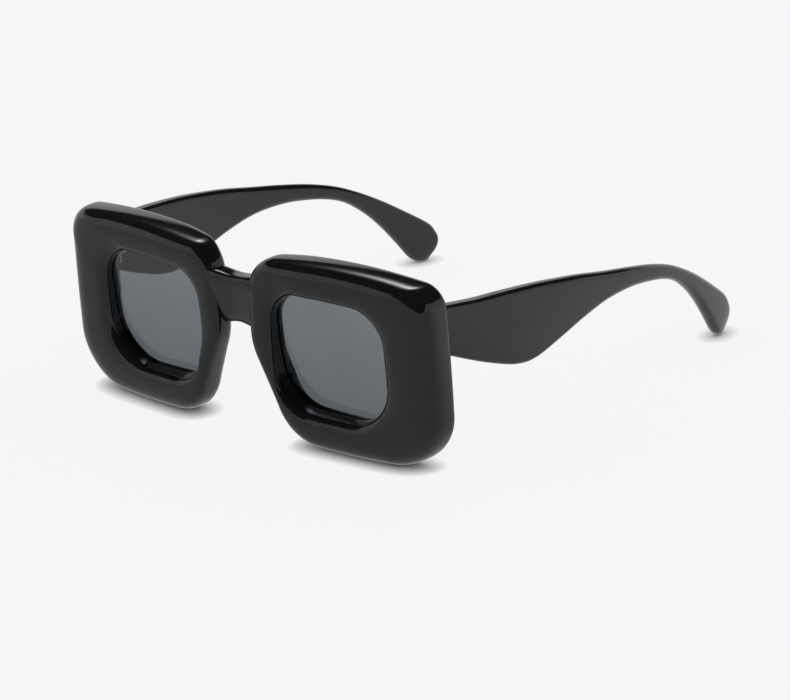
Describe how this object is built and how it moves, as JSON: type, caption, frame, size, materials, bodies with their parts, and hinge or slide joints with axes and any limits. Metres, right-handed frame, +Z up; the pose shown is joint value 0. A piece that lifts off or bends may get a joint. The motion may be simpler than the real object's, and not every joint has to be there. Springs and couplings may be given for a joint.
{
  "type": "square sunglasses",
  "caption": "Puffed square sunglasses with deep-set tinted lenses in a one-piece glossy front, and wide temples that fold on leaf hinges.",
  "frame": {"origin": "on the table under the middle of the open glasses, where their bounding box stands", "axes": "+X towards the wearer's left, +Y from the lenses back along the temples, +Z up"},
  "size_m": [0.1428, 0.1571, 0.057],
  "materials": {
    "black_gloss_plastic": "polished black moulding",
    "smoke_lens": "clear smoke-grey tint",
    "hinge_steel": "satin"
  },
  "bodies": {
    "front": {"front_frame": "black_gloss_plastic", "lens_left": "smoke_lens", "lens_right": "smoke_lens", "front_hinge_leaf_left": "hinge_steel", "hinge_pivot_screw_left": "hinge_steel", "front_leaf_screw_upper_left": "hinge_steel", "front_leaf_screw_lower_left": "hinge_steel", "front_hinge_leaf_right": "hinge_steel", "hinge_pivot_screw_right": "hinge_steel", "front_leaf_screw_upper_right": "hinge_steel", "front_leaf_screw_lower_right": "hinge_steel"},
    "temple_left_body": {"temple_left": "black_gloss_plastic", "temple_hinge_leaf_left": "hinge_steel", "temple_leaf_screw_front_left": "hinge_steel", "temple_leaf_screw_rear_left": "hinge_steel"},
    "temple_right_body": {"temple_right": "black_gloss_plastic", "temple_hinge_leaf_right": "hinge_steel", "temple_leaf_screw_front_right": "hinge_steel", "temple_leaf_screw_rear_right": "hinge_steel"}
  },
  "joints": [
    {"name": "temple_left_fold", "type": "hinge", "parent": "front", "child": "temple_left_body", "pos_m": [0.06175, -0.06113, 0.04148], "axis": [0, 0, 1], "range_deg": [0, 87.5]},
    {"name": "temple_right_fold", "type": "hinge", "parent": "front", "child": "temple_right_body", "pos_m": [-0.06175, -0.06113, 0.04148], "axis": [0, 0, -1], "range_deg": [0, 69.5]}
  ]
}
